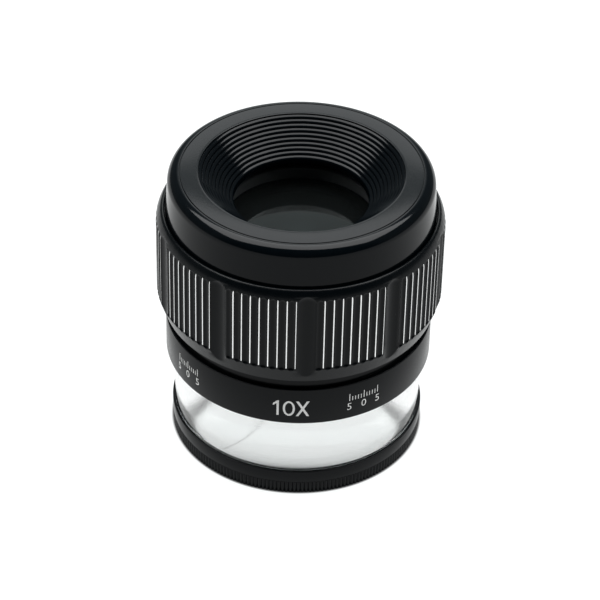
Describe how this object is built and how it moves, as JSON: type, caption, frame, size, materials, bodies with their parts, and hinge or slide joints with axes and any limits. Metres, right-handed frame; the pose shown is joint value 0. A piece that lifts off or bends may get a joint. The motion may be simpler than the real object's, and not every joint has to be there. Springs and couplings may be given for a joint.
{
  "type": "viewing loupe",
  "caption": "Round focusing loupe with a ridged eyecup, fluted focus grip, black collar and clear stand skirt over a knurled base ring with a scale glass.",
  "frame": {"origin": "centre of the base ring's underside, on the surface the loupe stands on", "axes": "+Z along the optical axis, up towards the eye; -Y is the front; +X is to the right of someone facing the front"},
  "size_m": [0.05, 0.05, 0.0533],
  "materials": {
    "black_anodised": "satin black anodised, fine turned",
    "bright_aluminium": "bare, machined bright",
    "eyecup_plastic": "fine satin moulded",
    "clear_acrylic": "clear, polished",
    "scale_glass": "clear, polished",
    "optical_glass": "polished, coated",
    "nylon": "moulded",
    "fibre": "dull",
    "blued_steel": "blackened",
    "white_ink": "printed",
    "black_ink": "printed"
  },
  "bodies": {
    "base": {"base_ring": "black_anodised", "reticle_glass": "scale_glass"},
    "washer": {"reticle_washer": "fibre"},
    "stand": {"skirt": "clear_acrylic", "body_collar": "black_anodised", "stop_screw": "blued_steel"},
    "damper": {"damping_ring": "nylon"},
    "focus": {"focus_sleeve": "black_anodised", "grip_ring": "black_anodised", "grip_screws": "blued_steel", "eyecup": "eyecup_plastic", "lens_cell": "black_anodised", "cell_lock_ring": "bright_aluminium", "field_flint_lens": "optical_glass", "field_crown_lens": "optical_glass", "lens_spacer": "black_anodised", "eye_crown_lens": "optical_glass", "eye_flint_lens": "optical_glass", "field_lens_ring": "black_anodised", "eye_lens_ring": "black_anodised"}
  },
  "joints": [
    {"name": "base_rise", "type": "slide", "parent": "base", "child": "washer", "axis": [0, 0, 1], "range_m": [0, 0.00151]},
    {"name": "base_turn", "type": "hinge", "parent": "washer", "child": "stand", "pos_m": [0, 0, 0], "axis": [0, 0, 1], "range_deg": [0, 720]},
    {"name": "focus_travel", "type": "slide", "parent": "stand", "child": "damper", "axis": [0, 0, 1], "range_m": [-0.00201, 0.00201]},
    {"name": "focus_turn", "type": "hinge", "parent": "damper", "child": "focus", "pos_m": [0, 0, 0], "axis": [0, 0, 1], "range_deg": [-180, 180]}
  ],
  "couplings": [
    {"joint": "base_rise", "follows": "base_turn", "m_per_rad": 0.00011937},
    {"joint": "focus_travel", "follows": "focus_turn", "m_per_rad": 0.00063662}
  ]
}
